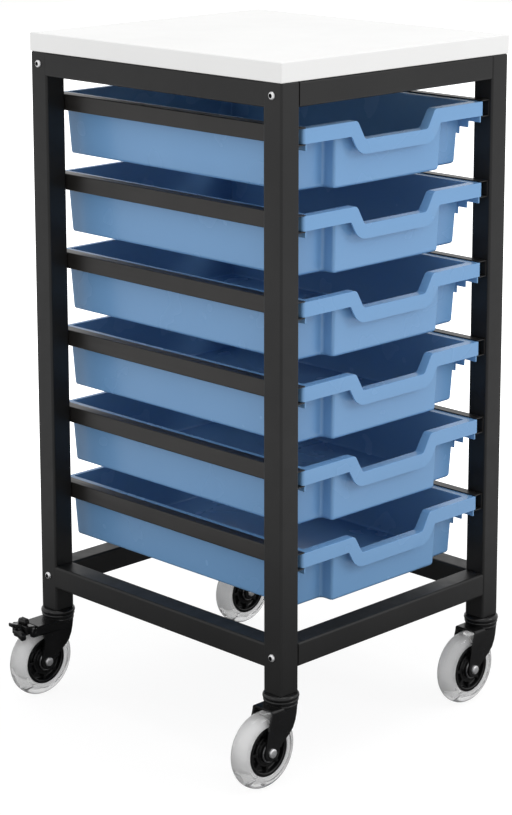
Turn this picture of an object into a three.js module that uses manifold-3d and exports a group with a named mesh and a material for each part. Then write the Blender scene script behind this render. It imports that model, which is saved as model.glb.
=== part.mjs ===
// Classroom tray storage unit: six trays on runners in a steel tube frame with a white top and four castors.
// Millimetres, +Z up. The tray fronts face -Y. The origin is on the floor, under the middle of the outer box.
import * as THREE from 'three';
import { mergeVertices } from 'three/addons/utils/BufferGeometryUtils.js';
import Module from 'manifold-3d';

const wasm = await Module();
wasm.setup();

// Top panel and tube frame
const PANEL_WIDTH = 390;
const PANEL_DEPTH = 430;
const PANEL_THICKNESS = 23;
const PANEL_CORNER = 2;
const PANEL_OVERHANG = 1;
const TUBE = 29;
const TUBE_WALL = 1.5;
const TUBE_CORNER = 3;
const POST_LENGTH = 710;
const LOWER_BEAM_RISE = 30.5;
const VENT_RADIUS = 5;
const END_PLATE = 3;

// Frame screws, through the posts into the ends of the cross beams
const SCREW_RADIUS = 3;
const SCREW_GRIP = 7;
const SCREW_HEAD_RADIUS = 5.5;
const SCREW_HEAD_HEIGHT = 3.3;
const SCREW_DOME_RADIUS = 3.6;

// Tray runners
const TRAY_COUNT = 6;
const TRAY_BASE_GAP = 26;
const RUNNER_DROP = 53;
const RUNNER_HEIGHT = 20.2;
const RUNNER_REACH = 13.7;
const RUNNER_SHEET = 1.2;
const RUNNER_SETBACK = 4;
const RUNNER_REAR_INSET = 1;

// Trays
const TRAY_REAR_PROUD = 1;
const TRAY_HEIGHT = 77.5;
const TRAY_WALL = 2.2;
const TRAY_FLOOR = 2.4;
const TRAY_DRAFT = 4;
const TRAY_SIDE_GAP = 8.3;
const TRAY_BAY_WIDTH = 186;
const TRAY_BAY_PROUD = 18.5;
const TRAY_BAY_RADIUS = 9;
const TRAY_FRONT_RADIUS = 8;
const TRAY_REAR_RADIUS = 14;
const TRAY_REAR_LEDGE = 4;
const RIM_OVERLAP = 3.7;
const RIM_THICKNESS = 2.5;
const RIM_REAR_RADIUS = 16;
const LIP_PROUD = 10.2;
const LIP_THICKNESS = 2.5;
const DIP_DEPTH = 22.4;
const DIP_TOP_WIDTH = 133;
const DIP_BOTTOM_WIDTH = 107;
const DIP_RADIUS = 12;
const LIP_INNER_RADIUS = 2.5;
const GUIDE_THICKNESS = 2;
const GUIDE_STEPS = [8, 16, 25];
const GUIDE_ENDS = [20, 34, 37];

// Castors, measured from the axis that each one swivels about
const CASTOR_HEIGHT = 107.5;
const WHEEL_RADIUS = 46;
const WHEEL_WIDTH = 24;
const TYRE_BORE_RADIUS = 30;
const TYRE_EDGE_RADIUS = 34;
const CASTOR_TRAIL = 30.5;
const PLUG_LENGTH = 36;
const COLLAR_RADIUS = 21.5;
const COLLAR_HEIGHT = 11.2;
const COLLAR_GROOVE = 1.2;
const KINGPIN_RADIUS = 6;
const KINGPIN_HEAD_RADIUS = 9;
const KINGPIN_HEAD_HEIGHT = 3;
const FORK_SHEET = 2.5;
const FORK_WIDTH = 33;
const FORK_FRONT = 30;
const FORK_REAR = 10.6;
const FORK_SHOULDER = 4.5;
const FORK_EYE_RADIUS = 10;
const FORK_KNEE_X = 4;
const FORK_KNEE_RISE = 19;
const FORK_KNEE_RADIUS = 20;
const AXLE_RADIUS = 4;
const AXLE_HEAD_RADIUS = 6.3;
const AXLE_HEAD_HEIGHT = 3;
const HUB_WEB = 9;
const HUB_RIM = 4;
const HUB_BOSS_RADIUS = 11;
const HUB_RIM_INSET = 1;

// Brake pedals on the two rear castors
const EAR_REACH = 59;
const EAR_DROP = 10.5;
const EAR_RADIUS = 3;
const PLATE_REACH_BRAKED = 42;
const PEDAL_PIVOT_REACH = 52;
const PEDAL_PIVOT_DROP = 4;
const PEDAL_PIN_RADIUS = 2.2;
const PEDAL_BOSS_RADIUS = 3.6;
const PEDAL_HEEL_REACH = 46;
const PEDAL_PAD_REACH = 60;
const PEDAL_PAD_RISE = 7.5;
const PEDAL_TIP_REACH = 85;
const PEDAL_TIP_RISE = 5;
const PEDAL_TIP_THICKNESS = 3;
const PEDAL_TIP_WIDTH = 16;
const PEDAL_WING_START = 61;
const PEDAL_WING_END = 74;
const PEDAL_WING_WIDTH = 36;
const BRAKE_SHOE_REACH = 68;
const BRAKE_SHOE_RADIUS = 3.5;
const BRAKE_SHOE_GAP = 4;

// Clearances
const FIT_GAP = 0.3;
const SWIVEL_GAP = 0.3;
const SLIDE_GAP = 0.4;

// Facets
const CORNER_STEPS = 2;
const CURVE_STEPS = 4;
const WHEEL_SIDES = 26;
const ROUND_SIDES = 16;
const SCREW_SIDES = 10;
const CUT_MARGIN = 1;

// Places worked out from the sizes above
const frameWidth = PANEL_WIDTH - 2 * PANEL_OVERHANG;
const frameDepth = PANEL_DEPTH - 2 * PANEL_OVERHANG;
const postBottom = CASTOR_HEIGHT;
const frameTop = postBottom + POST_LENGTH;
const postX = frameWidth / 2 - TUBE / 2;
const postY = frameDepth / 2 - TUBE / 2;
const innerHalfWidth = frameWidth / 2 - TUBE;
const innerHalfDepth = frameDepth / 2 - TUBE;
const upperBeamZ = frameTop - TUBE / 2;
const lowerBeamZ = postBottom + LOWER_BEAM_RISE + TUBE / 2;
const boreHalf = TUBE / 2 - TUBE_WALL;
const runnerEdge = innerHalfWidth - RUNNER_REACH;
const rimHalfWidth = runnerEdge + RIM_OVERLAP;
const lipFront = -frameDepth / 2 + RUNNER_SETBACK;
const lipHeight = RUNNER_HEIGHT - 2 * RUNNER_SHEET - 2 * FIT_GAP;
const trayRear = frameDepth / 2 + TRAY_REAR_PROUD;
const trayHalfWidth = runnerEdge - TRAY_SIDE_GAP;
const topRunner = frameTop - RUNNER_DROP;
const bottomRunner = lowerBeamZ + TUBE / 2 + TRAY_BASE_GAP + TRAY_HEIGHT + FIT_GAP + RUNNER_SHEET;
const trayPitch = (topRunner - bottomRunner) / (TRAY_COUNT - 1);
const forkTop = postBottom - COLLAR_HEIGHT - SWIVEL_GAP;
const axleZ = WHEEL_RADIUS;
const pedalPivotZ = forkTop - PEDAL_PIVOT_DROP;
const shoeFall = Math.sqrt((WHEEL_RADIUS + BRAKE_SHOE_RADIUS + BRAKE_SHOE_GAP) ** 2
  - (BRAKE_SHOE_REACH - CASTOR_TRAIL) ** 2);
const leftReach = postX + Math.max(PEDAL_TIP_REACH, CASTOR_TRAIL + WHEEL_RADIUS);
const rightReach = Math.max(PANEL_WIDTH / 2, frameWidth / 2 + SCREW_HEAD_HEIGHT, postX + COLLAR_RADIUS);
const boxMiddleX = (rightReach - leftReach) / 2;

const finish = {
  panel: new THREE.MeshStandardMaterial({ color: 0xf4f4f3, roughness: 0.45, metalness: 0 }),
  frame: new THREE.MeshStandardMaterial({ color: 0x262626, roughness: 0.5, metalness: 0.2 }),
  runner: new THREE.MeshStandardMaterial({ color: 0x2b2a29, roughness: 0.45, metalness: 0.2 }),
  tray: new THREE.MeshStandardMaterial({ color: 0x6f9fd0, roughness: 0.5, metalness: 0 }),
  castor: new THREE.MeshStandardMaterial({ color: 0x1d1d1d, roughness: 0.5, metalness: 0.1 }),
  tyre: new THREE.MeshStandardMaterial({ color: 0xd4d4d2, roughness: 0.3, metalness: 0 }),
  steel: new THREE.MeshStandardMaterial({ color: 0xbfc0c2, roughness: 0.3, metalness: 1 }),
};

// A closed geometry as a solid that can be joined and cut.
function toSolid(geometry) {
  const plain = geometry.index ? geometry.toNonIndexed() : geometry.clone();
  plain.deleteAttribute('normal');
  plain.deleteAttribute('uv');
  const merged = mergeVertices(plain);
  const corners = merged.index.array;
  const kept = [];
  for (let i = 0; i < corners.length; i += 3) {
    const [a, b, c] = [corners[i], corners[i + 1], corners[i + 2]];
    if (a !== b && b !== c && c !== a) kept.push(a, b, c);
  }
  return new wasm.Manifold(new wasm.Mesh({
    numProp: 3,
    vertProperties: merged.attributes.position.array,
    triVerts: new Uint32Array(kept),
  }));
}

// A solid as a geometry for a mesh.
function toGeometry(solid) {
  const { vertProperties, triVerts } = solid.getMesh();
  const geometry = new THREE.BufferGeometry();
  geometry.setAttribute('position', new THREE.BufferAttribute(vertProperties, 3));
  geometry.setIndex(new THREE.BufferAttribute(triVerts, 1));
  geometry.computeVertexNormals();
  return geometry;
}

function piece(name, solid, material, place = [0, 0, 0]) {
  const mesh = new THREE.Mesh(toGeometry(solid), material);
  mesh.name = name;
  mesh.position.set(...place);
  return mesh;
}

function join(solids) {
  return solids.reduce((whole, next) => whole.add(next));
}

function box(x0, x1, y0, y1, z0, z1) {
  const geometry = new THREE.BoxGeometry(x1 - x0, y1 - y0, z1 - z0);
  return toSolid(geometry.translate((x0 + x1) / 2, (y0 + y1) / 2, (z0 + z1) / 2));
}

// Points of a closed outline whose corners [x, y, radius] are rounded by arcs.
function roundedOutline(corners, steps = CORNER_STEPS) {
  const points = [];
  corners.forEach(([x, y, radius], i) => {
    const corner = new THREE.Vector2(x, y);
    if (radius === 0) {
      points.push(corner);
      return;
    }
    const before = corners[(i + corners.length - 1) % corners.length];
    const after = corners[(i + 1) % corners.length];
    const toBefore = new THREE.Vector2(before[0] - x, before[1] - y).normalize();
    const toAfter = new THREE.Vector2(after[0] - x, after[1] - y).normalize();
    const halfAngle = Math.acos(THREE.MathUtils.clamp(toBefore.dot(toAfter), -1, 1)) / 2;
    const centre = toBefore.clone().add(toAfter).setLength(radius / Math.sin(halfAngle)).add(corner);
    const start = corner.clone().addScaledVector(toBefore, radius / Math.tan(halfAngle)).sub(centre);
    const turn = Math.sign(toAfter.cross(toBefore)) * (Math.PI - 2 * halfAngle);
    for (let k = 0; k <= steps; k += 1) {
      points.push(start.clone().rotateAround(new THREE.Vector2(), turn * k / steps).add(centre));
    }
  });
  return points;
}

// A prism on an outline in the XY plane, from z0 to z1.
function prismZ(points, z0, z1) {
  const shape = new THREE.Shape(points);
  return toSolid(new THREE.ExtrudeGeometry(shape, { depth: z1 - z0, bevelEnabled: false }).translate(0, 0, z0));
}

// A prism on an outline in the XZ plane, from y0 to y1.
function prismY(points, y0, y1) {
  const shape = new THREE.Shape(points);
  const geometry = new THREE.ExtrudeGeometry(shape, { depth: y1 - y0, bevelEnabled: false });
  return toSolid(geometry.rotateX(Math.PI / 2).translate(0, y1, 0));
}

// A prism on an outline in the YZ plane, from x0 to x1.
function prismX(points, x0, x1) {
  const shape = new THREE.Shape(points);
  const geometry = new THREE.ExtrudeGeometry(shape, { depth: x1 - x0, bevelEnabled: false });
  return toSolid(geometry.rotateZ(Math.PI / 2).rotateY(Math.PI / 2).translate(x0, 0, 0));
}

// A round bar along X, Y or Z between two places on that axis.
function bar(axis, radius, from, to, place = [0, 0, 0], sides = ROUND_SIDES) {
  const geometry = new THREE.CylinderGeometry(radius, radius, to - from, sides);
  geometry.translate(0, (from + to) / 2, 0);
  if (axis === 'x') geometry.rotateZ(-Math.PI / 2);
  if (axis === 'z') geometry.rotateX(Math.PI / 2);
  return toSolid(geometry.translate(...place));
}

// A turned body from [radius, height] pairs, about the Y axis or, stood up, about the Z axis.
function turned(profile, sides, upright = false) {
  const points = profile.map(([radius, height]) => new THREE.Vector2(radius, height));
  const geometry = new THREE.LatheGeometry([...points, points[0]], sides);
  return toSolid(upright ? geometry.rotateX(Math.PI / 2) : geometry);
}

// A closed skin through rings of the same number of points, each at its own height.
function loft(rings, heights) {
  const count = rings[0].length;
  const positions = rings.flatMap((ring, i) => ring.flatMap((point) => [point.x, point.y, heights[i]]));
  const faces = [];
  for (let i = 0; i + 1 < rings.length; i += 1) {
    for (let k = 0; k < count; k += 1) {
      const [a, b] = [i * count + k, i * count + (k + 1) % count];
      faces.push(a, b, b + count, a, b + count, a + count);
    }
  }
  const top = (rings.length - 1) * count;
  THREE.ShapeUtils.triangulateShape(rings[0], []).forEach(([a, b, c]) => faces.push(c, b, a));
  THREE.ShapeUtils.triangulateShape(rings[rings.length - 1], []).forEach(([a, b, c]) => {
    faces.push(top + a, top + b, top + c);
  });
  const geometry = new THREE.BufferGeometry();
  geometry.setAttribute('position', new THREE.Float32BufferAttribute(positions, 3));
  geometry.setIndex(faces);
  return toSolid(geometry);
}

function square(half, radius) {
  return roundedOutline([[-half, -half, radius], [half, -half, radius], [half, half, radius], [-half, half, radius]]);
}

function shifted(points, dx, dy) {
  return points.map((point) => new THREE.Vector2(point.x + dx, point.y + dy));
}

// Top panel, with its corners just eased
function topPanel() {
  const [halfX, halfY, r] = [PANEL_WIDTH / 2, PANEL_DEPTH / 2, PANEL_CORNER];
  const outline = roundedOutline([[-halfX, -halfY, r], [halfX, -halfY, r], [halfX, halfY, r], [-halfX, halfY, r]]);
  return piece('top_panel', prismZ(outline, frameTop, frameTop + PANEL_THICKNESS), finish.panel);
}

// One welded side: two posts and two side beams of square tube. The beams vent into the posts, which are open
// at both ends, and the screws of the cross beams go through the posts.
function sideFrame(name, side) {
  const x = side * postX;
  const outer = square(TUBE / 2, TUBE_CORNER);
  const bore = square(boreHalf, TUBE_CORNER - TUBE_WALL);
  const posts = [-postY, postY];
  const beams = [upperBeamZ, lowerBeamZ];
  const beamEnd = innerHalfDepth + TUBE_CORNER;
  const tubes = [
    ...posts.map((y) => prismZ(shifted(outer, x, y), postBottom, frameTop)),
    ...beams.map((z) => prismY(shifted(outer, x, z), -beamEnd, beamEnd)),
  ];
  const hollows = [
    ...posts.map((y) => prismZ(shifted(bore, x, y), postBottom - CUT_MARGIN, frameTop + CUT_MARGIN)),
    ...beams.map((z) => prismY(shifted(bore, x, z), -innerHalfDepth, innerHalfDepth)),
    ...beams.map((z) => bar('y', VENT_RADIUS, -postY, postY, [x, 0, z])),
  ];
  for (const y of posts) {
    for (const z of beams) {
      hollows.push(bar('x', SCREW_RADIUS + FIT_GAP, x - TUBE, x + TUBE, [0, y, z], SCREW_SIDES));
    }
  }
  return piece(name, join(tubes).subtract(join(hollows)), finish.frame);
}

// A cross beam between the two sides, closed at its ends by plates that take the screws.
function crossBeam(name, y, z) {
  const outer = prismX(square(TUBE / 2, TUBE_CORNER), -innerHalfWidth, innerHalfWidth);
  const boreEnd = innerHalfWidth - END_PLATE;
  const bore = prismX(square(boreHalf, TUBE_CORNER - TUBE_WALL), -boreEnd, boreEnd);
  const screwHoles = bar('x', SCREW_RADIUS + FIT_GAP, -frameWidth, frameWidth, [0, 0, 0], SCREW_SIDES);
  return piece(name, outer.subtract(bore).subtract(screwHoles), finish.frame, [0, y, z]);
}

// A button-head screw whose head sits on the outer face of a post.
function frameScrew(name, side, y, z) {
  const shank = TUBE + SCREW_GRIP;
  const solid = turned([
    [0, -shank], [SCREW_RADIUS, -shank], [SCREW_RADIUS, 0], [SCREW_HEAD_RADIUS, 0],
    [SCREW_HEAD_RADIUS, SCREW_HEAD_HEIGHT / 3], [SCREW_DOME_RADIUS, SCREW_HEAD_HEIGHT], [0, SCREW_HEAD_HEIGHT],
  ], SCREW_SIDES);
  const mesh = piece(name, solid, finish.steel, [side * frameWidth / 2, y, z]);
  mesh.rotation.z = -side * Math.PI / 2;
  return mesh;
}

function runnerTop(row) {
  return topRunner - row * trayPitch;
}

// A channel that opens inwards on the inner faces of two posts, closed at the rear to stop its tray.
function runner(name, side, row) {
  const top = runnerTop(row);
  const bottom = top - RUNNER_HEIGHT;
  const front = lipFront;
  const rear = frameDepth / 2 - RUNNER_REAR_INSET;
  const strip = (reach, y0, y1, z0, z1) => {
    const [x0, x1] = [side * innerHalfWidth, side * (innerHalfWidth - reach)];
    return box(Math.min(x0, x1), Math.max(x0, x1), y0, y1, z0, z1);
  };
  const sheet = [
    strip(RUNNER_SHEET, front, rear, bottom, top),
    strip(RUNNER_REACH, front, rear, top - RUNNER_SHEET, top),
    strip(RUNNER_REACH, front, rear, bottom, bottom + RUNNER_SHEET),
    strip(RUNNER_REACH, rear - RUNNER_SHEET, rear, bottom, top),
  ];
  return piece(name, join(sheet), finish.runner);
}

// The tray body in plan, drawn in by an inset: a bay stands forward in the middle of the front.
function trayPlan(inset) {
  const half = trayHalfWidth - inset;
  const bay = TRAY_BAY_WIDTH / 2 - inset;
  const bayFront = lipFront + LIP_PROUD + inset;
  const front = bayFront + TRAY_BAY_PROUD;
  const rear = trayRear - TRAY_REAR_LEDGE - inset;
  const right = [
    [bay, bayFront, TRAY_BAY_RADIUS], [bay, front, TRAY_BAY_RADIUS],
    [half, front, TRAY_FRONT_RADIUS], [half, rear, TRAY_REAR_RADIUS],
  ];
  const left = right.map(([x, y, radius]) => [-x, y, radius]).reverse();
  return roundedOutline([...right, ...left]);
}

// The rim in plan, drawn in by an inset.
function rimPlan(inset) {
  const half = rimHalfWidth - inset;
  const rearRadius = RIM_REAR_RADIUS - inset;
  return roundedOutline([
    [-half, lipFront + inset, 0], [half, lipFront + inset, 0],
    [half, trayRear - inset, rearRadius], [-half, trayRear - inset, rearRadius],
  ]);
}

// Corners of the lip's edge in front view, lowered by a drop with the band's width kept on the slopes.
function dipEdge(drop, upperRadius, lowerRadius) {
  const slope = Math.atan2(DIP_DEPTH, (DIP_TOP_WIDTH - DIP_BOTTOM_WIDTH) / 2);
  const spread = drop * Math.tan(slope / 2);
  const right = [
    [DIP_BOTTOM_WIDTH / 2 + spread, -DIP_DEPTH - drop, lowerRadius],
    [DIP_TOP_WIDTH / 2 + spread, -drop, upperRadius],
  ];
  return [...right.map(([x, z, radius]) => [-x, z, radius]).reverse(), ...right];
}

// A band along the lip's edge: what lies between the edge and the same edge lowered by a height.
function lipBand(height, innerRadius, y0, y1) {
  const upper = dipEdge(0, DIP_RADIUS, DIP_RADIUS);
  const lower = dipEdge(height, innerRadius, DIP_RADIUS + height);
  const outline = [
    [-rimHalfWidth, -height, 0], ...lower, [rimHalfWidth, -height, 0],
    [rimHalfWidth, 0, 0], ...upper.reverse(), [-rimHalfWidth, 0, 0],
  ];
  return prismY(roundedOutline(outline, CURVE_STEPS), y0, y1);
}

// The space above the dip in the front wall.
function dipSpace(y0, y1) {
  const side = DIP_TOP_WIDTH / 2 + 2 * DIP_RADIUS;
  const outline = [
    [-side, 0, 0], ...dipEdge(0, DIP_RADIUS, DIP_RADIUS), [side, 0, 0], [side, DIP_DEPTH, 0], [-side, DIP_DEPTH, 0],
  ];
  return prismY(roundedOutline(outline, CURVE_STEPS), y0, y1);
}

// A stepped guide plate under one end of the lip: it runs just inside the edges of a runner.
function guidePlate(side) {
  const front = lipFront + LIP_THICKNESS / 2;
  const outline = [new THREE.Vector2(front, -RIM_THICKNESS / 2)];
  let y = front;
  GUIDE_STEPS.forEach((step, i) => {
    outline.push(new THREE.Vector2(y, -lipHeight - step));
    y = lipFront + GUIDE_ENDS[i];
    outline.push(new THREE.Vector2(y, -lipHeight - step));
  });
  outline.push(new THREE.Vector2(y, -RIM_THICKNESS / 2));
  const outerFace = runnerEdge - SLIDE_GAP;
  const [near, far] = [side * (outerFace - GUIDE_THICKNESS), side * outerFace];
  return prismX(outline, Math.min(near, far), Math.max(near, far));
}

// A tray, with the top of its rim at height 0: a drafted body, a turned-down rim and a dipped lip to pull it by.
function traySolid() {
  const floor = -TRAY_HEIGHT;
  const body = loft([trayPlan(TRAY_DRAFT), trayPlan(0)], [floor, 0]);
  const innerTop = trayPlan(TRAY_WALL);
  const inside = loft([trayPlan(TRAY_DRAFT + TRAY_WALL), innerTop, innerTop], [floor + TRAY_FLOOR, 0, CUT_MARGIN]);
  const rimTop = prismZ(rimPlan(0), -RIM_THICKNESS, 0);
  const rimSkirt = prismZ(rimPlan(0), -lipHeight, 0)
    .subtract(prismZ(rimPlan(RIM_THICKNESS), -lipHeight - CUT_MARGIN, CUT_MARGIN));
  const wallBack = lipFront + LIP_PROUD + TRAY_WALL;
  const dip = dipSpace(lipFront - CUT_MARGIN, wallBack + TRAY_BAY_PROUD);
  const shell = join([body, rimTop, rimSkirt]).subtract(inside).subtract(dip);
  return join([
    shell,
    lipBand(lipHeight, LIP_INNER_RADIUS, lipFront, lipFront + LIP_THICKNESS),
    lipBand(RIM_THICKNESS, LIP_INNER_RADIUS, lipFront, wallBack),
    guidePlate(-1),
    guidePlate(1),
  ]);
}

// The fixed part of a castor: a plug in the post, a collar under it and the pin that the fork turns on.
function castorSocket() {
  const collarBottom = postBottom - COLLAR_HEIGHT;
  const mid = postBottom - COLLAR_HEIGHT / 2;
  const groove = COLLAR_RADIUS - COLLAR_GROOVE;
  const collar = turned([
    [0, collarBottom], [groove, collarBottom], [COLLAR_RADIUS, collarBottom + COLLAR_GROOVE],
    [COLLAR_RADIUS, mid - COLLAR_GROOVE], [groove, mid], [COLLAR_RADIUS, mid + COLLAR_GROOVE],
    [COLLAR_RADIUS, postBottom - COLLAR_GROOVE], [groove, postBottom], [0, postBottom],
  ], ROUND_SIDES, true);
  const plug = prismZ(square(boreHalf - FIT_GAP, TUBE_CORNER - TUBE_WALL), mid, postBottom + PLUG_LENGTH);
  const headTop = forkTop - FORK_SHEET - SWIVEL_GAP;
  const pin = bar('z', KINGPIN_RADIUS, headTop - CUT_MARGIN, mid);
  const head = bar('z', KINGPIN_HEAD_RADIUS, headTop - KINGPIN_HEAD_HEIGHT, headTop);
  return join([collar, plug, pin, head]);
}

// A pressed fork: a plate under the collar and two legs down to the axle. A braked one has ears for its pedal.
function castorFork(braked) {
  const [inner, outer] = [FORK_WIDTH / 2 - FORK_SHEET, FORK_WIDTH / 2];
  const eye = FORK_EYE_RADIUS;
  const plateFront = braked ? PLATE_REACH_BRAKED : FORK_FRONT;
  const plateBottom = forkTop - FORK_SHEET;
  const leg = roundedOutline([
    [-FORK_FRONT, forkTop, 0], [-FORK_FRONT, forkTop - FORK_SHOULDER, eye],
    [-CASTOR_TRAIL - eye, axleZ, 0], [-CASTOR_TRAIL + eye, axleZ, 0],
    [FORK_KNEE_X, axleZ + FORK_KNEE_RISE, FORK_KNEE_RADIUS], [FORK_REAR, forkTop, 0],
  ]);
  const ear = roundedOutline([
    [-EAR_REACH, forkTop, EAR_RADIUS], [-EAR_REACH, forkTop - EAR_DROP, EAR_RADIUS],
    [-CASTOR_TRAIL, forkTop - EAR_DROP, 0], [-CASTOR_TRAIL, forkTop, 0],
  ]);
  const axlePlace = [-CASTOR_TRAIL, 0, axleZ];
  const pivotPlace = [-PEDAL_PIVOT_REACH, 0, pedalPivotZ];
  const solids = [
    box(-plateFront, 0, -outer, outer, plateBottom, forkTop),
    bar('z', outer, plateBottom, forkTop),
  ];
  for (const [y0, y1] of [[-outer, -inner], [inner, outer]]) {
    solids.push(prismY(leg, y0, y1), bar('y', eye, y0, y1, axlePlace));
    if (braked) solids.push(prismY(ear, y0, y1));
  }
  const holes = [
    bar('y', AXLE_RADIUS + FIT_GAP, -FORK_WIDTH, FORK_WIDTH, axlePlace),
    bar('z', KINGPIN_RADIUS + SWIVEL_GAP, plateBottom - CUT_MARGIN, forkTop + CUT_MARGIN),
    bar('y', PEDAL_PIN_RADIUS + FIT_GAP, -FORK_WIDTH, FORK_WIDTH, pivotPlace, SCREW_SIDES),
  ];
  return join(solids).subtract(join(holes));
}

// An axle riveted over at both ends, outside the legs of the fork.
function castorAxle() {
  const seat = FORK_WIDTH / 2;
  const end = seat + AXLE_HEAD_HEIGHT;
  return turned([
    [0, -end], [AXLE_HEAD_RADIUS, -end], [AXLE_HEAD_RADIUS, -seat], [AXLE_RADIUS, -seat],
    [AXLE_RADIUS, seat], [AXLE_HEAD_RADIUS, seat], [AXLE_HEAD_RADIUS, end], [0, end],
  ], ROUND_SIDES);
}

// A wheel centre: a boss on the axle, a thin web and a rim inside the tyre.
function wheelHub() {
  const bore = AXLE_RADIUS + FIT_GAP;
  const boss = FORK_WIDTH / 2 - FORK_SHEET - FIT_GAP;
  const rim = WHEEL_WIDTH / 2 - HUB_RIM_INSET;
  const outside = TYRE_BORE_RADIUS - FIT_GAP;
  const [web, inside] = [HUB_WEB / 2, outside - HUB_RIM];
  return turned([
    [bore, -boss], [HUB_BOSS_RADIUS, -boss], [HUB_BOSS_RADIUS, -web], [inside, -web], [inside, -rim], [outside, -rim],
    [outside, rim], [inside, rim], [inside, web], [HUB_BOSS_RADIUS, web], [HUB_BOSS_RADIUS, boss], [bore, boss],
  ], WHEEL_SIDES);
}

// A crowned tyre: straight side walls, then one arc over the tread.
function wheelTyre() {
  const half = WHEEL_WIDTH / 2;
  const rise = WHEEL_RADIUS - TYRE_EDGE_RADIUS;
  const crown = (half ** 2 + rise ** 2) / (2 * rise);
  const sweep = Math.atan2(half, crown - rise);
  const tread = Array.from({ length: 2 * CURVE_STEPS + 1 }, (_, k) => {
    const angle = sweep * (k / CURVE_STEPS - 1);
    return [WHEEL_RADIUS - crown + crown * Math.cos(angle), crown * Math.sin(angle)];
  });
  return turned([[TYRE_BORE_RADIUS, -half], ...tread, [TYRE_BORE_RADIUS, half]], WHEEL_SIDES);
}

// A winged pedal on two pins, with a round shoe that comes down to the tyre when the pedal is pressed.
function brakePedal() {
  const arm = FORK_WIDTH / 2 - FORK_SHEET - SLIDE_GAP;
  const [wing, tip] = [PEDAL_WING_WIDTH / 2, PEDAL_TIP_WIDTH / 2];
  const [padZ, tipZ] = [forkTop + PEDAL_PAD_RISE, forkTop + PEDAL_TIP_RISE];
  const pivotPlace = [-PEDAL_PIVOT_REACH, 0, pedalPivotZ];
  const shoePlace = [-BRAKE_SHOE_REACH, 0, axleZ + shoeFall];
  const side = roundedOutline([
    [-PEDAL_HEEL_REACH, pedalPivotZ, 1], [-PEDAL_PIVOT_REACH, pedalPivotZ - PEDAL_BOSS_RADIUS, 0],
    [-BRAKE_SHOE_REACH, axleZ + shoeFall - BRAKE_SHOE_RADIUS, 0], [-PEDAL_WING_END, axleZ + shoeFall, 1],
    [-PEDAL_WING_END, tipZ - PEDAL_TIP_THICKNESS, 1], [-PEDAL_TIP_REACH, tipZ - PEDAL_TIP_THICKNESS, 1],
    [-PEDAL_TIP_REACH, tipZ, 1], [-PEDAL_WING_START, tipZ, 1], [-PEDAL_PAD_REACH, padZ, 1],
    [-PEDAL_PIVOT_REACH, padZ, 2],
  ].reverse());
  const plan = roundedOutline([
    [-PEDAL_HEEL_REACH, -arm, 0], [-PEDAL_HEEL_REACH, arm, 0], [-PEDAL_WING_START, arm, 0],
    [-PEDAL_WING_START, wing, 2], [-PEDAL_WING_END, wing, 2], [-PEDAL_WING_END, tip, 0],
    [-PEDAL_TIP_REACH, tip, 4], [-PEDAL_TIP_REACH, -tip, 4], [-PEDAL_WING_END, -tip, 0],
    [-PEDAL_WING_END, -wing, 2], [-PEDAL_WING_START, -wing, 2], [-PEDAL_WING_START, -arm, 0],
  ]);
  return join([
    prismY(side, -wing, wing).intersect(prismZ(plan, axleZ, postBottom)),
    bar('y', PEDAL_PIN_RADIUS, -FORK_WIDTH / 2, FORK_WIDTH / 2, pivotPlace, SCREW_SIDES),
    bar('y', BRAKE_SHOE_RADIUS, -arm, arm, shoePlace),
  ]);
}

const unit = new THREE.Group();
unit.position.set(-boxMiddleX, 0, 0);
unit.add(topPanel());

const sides = [['left', -1], ['right', 1]];
const ends = [['front', -1], ['rear', 1]];
const levels = [['top', upperBeamZ], ['lower', lowerBeamZ]];

for (const [sideName, side] of sides) {
  unit.add(sideFrame(`side_frame_${sideName}`, side));
}
for (const [endName, end] of ends) {
  for (const [levelName, z] of levels) {
    unit.add(crossBeam(`${levelName}_beam_${endName}`, end * postY, z));
    for (const [sideName, side] of sides) {
      unit.add(frameScrew(`screw_${levelName}_${endName}_${sideName}`, side, end * postY, z));
    }
  }
}

const tray = traySolid();
for (let row = 0; row < TRAY_COUNT; row += 1) {
  const rimTop = runnerTop(row) - RUNNER_SHEET - FIT_GAP;
  unit.add(piece(`tray_${row + 1}`, tray, finish.tray, [0, 0, rimTop]));
  for (const [sideName, side] of sides) {
    unit.add(runner(`runner_${sideName}_${row + 1}`, side, row));
  }
}

for (const [endName, end] of ends) {
  for (const [sideName, side] of sides) {
    const castor = new THREE.Group();
    const name = `${endName}_${sideName}`;
    const braked = endName === 'rear';
    const wheelPlace = [-CASTOR_TRAIL, 0, axleZ];
    castor.position.set(side * postX, end * postY, 0);
    castor.add(piece(`castor_socket_${name}`, castorSocket(), finish.castor));
    castor.add(piece(`castor_fork_${name}`, castorFork(braked), finish.castor));
    castor.add(piece(`castor_axle_${name}`, castorAxle(), finish.steel, wheelPlace));
    castor.add(piece(`wheel_hub_${name}`, wheelHub(), finish.castor, wheelPlace));
    castor.add(piece(`wheel_tyre_${name}`, wheelTyre(), finish.tyre, wheelPlace));
    if (braked) castor.add(piece(`brake_pedal_${name}`, brakePedal(), finish.castor));
    unit.add(castor);
  }
}

export default unit;
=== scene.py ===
"""Classroom tray storage unit: six blue trays on runners, in a black tube frame with a white top, on four castors.

Sizes are in metres. X runs across the front, Y from front to rear, Z up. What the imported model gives, such as
where a tray hangs or how wide a tube is, is read from its boxes, and the sizes below are the rest.
"""
import math
from contextlib import contextmanager

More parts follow.
